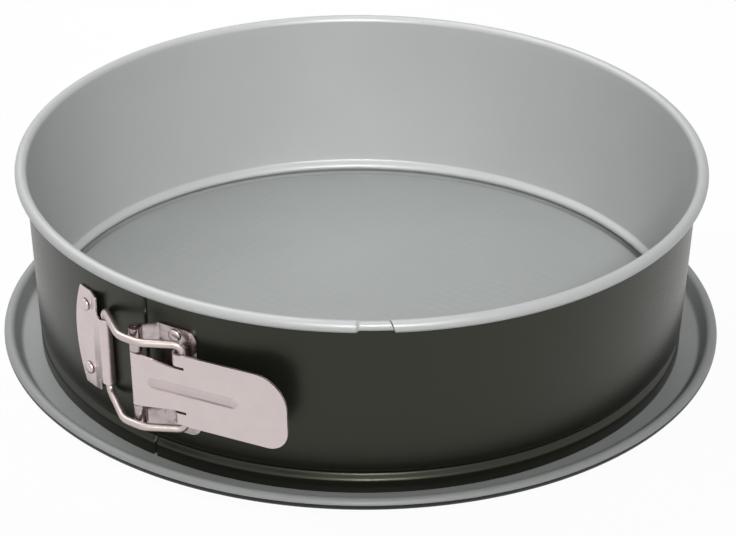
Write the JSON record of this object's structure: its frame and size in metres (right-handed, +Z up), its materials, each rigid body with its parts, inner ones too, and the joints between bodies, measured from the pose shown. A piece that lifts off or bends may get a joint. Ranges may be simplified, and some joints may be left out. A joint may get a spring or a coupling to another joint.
{
  "type": "springform cake pan",
  "caption": "Round springform cake pan: a rolled-rim ring with an over-centre wire buckle, standing on a removable flanged base with a raised floor.",
  "frame": {"origin": "on the pan's axis, in the plane that its base stands on", "axes": "+Z up along the pan's axis, -Y through the seam under the buckle, +X along the closed lever"},
  "size_m": [0.2612, 0.2617, 0.0704],
  "materials": {
    "band_coating": "dark satin non-stick coating outside, light grey inside",
    "base_coating": "light grey satin non-stick coating over a finely hammered sheet",
    "plated_steel": "satin plating",
    "wire": "bright plated wire"
  },
  "bodies": {
    "base": {"base_plate": "base_coating"},
    "ring": {"ring_band": "band_coating", "catch_bracket": "plated_steel", "hinge_bracket": "plated_steel", "hinge_pin": "wire", "catch_rivet_upper": "plated_steel", "catch_rivet_lower": "plated_steel", "hinge_rivet_upper": "plated_steel", "hinge_rivet_lower": "plated_steel"},
    "lever": {"clamp_lever": "plated_steel"},
    "bail": {"wire_bail": "wire"}
  },
  "joints": [
    {"name": "ring_lift", "type": "slide", "parent": "base", "child": "ring", "axis": [0, 0, 1], "range_m": [0, 0.08]},
    {"name": "lever_swing", "type": "hinge", "parent": "ring", "child": "lever", "pos_m": [-0.0008, -0.12504, 0.03596], "axis": [0, 0.0548, -0.9985], "range_deg": [0, 120]},
    {"name": "bail_swing", "type": "hinge", "parent": "ring", "child": "bail", "pos_m": [-0.0195, -0.11891, 0.0363], "axis": [0, 0.0548, -0.9985], "range_deg": [0, 60]}
  ],
  "couplings": [
    {"joint": "bail_swing", "follows": "lever_swing", "ratio": 0.475}
  ]
}
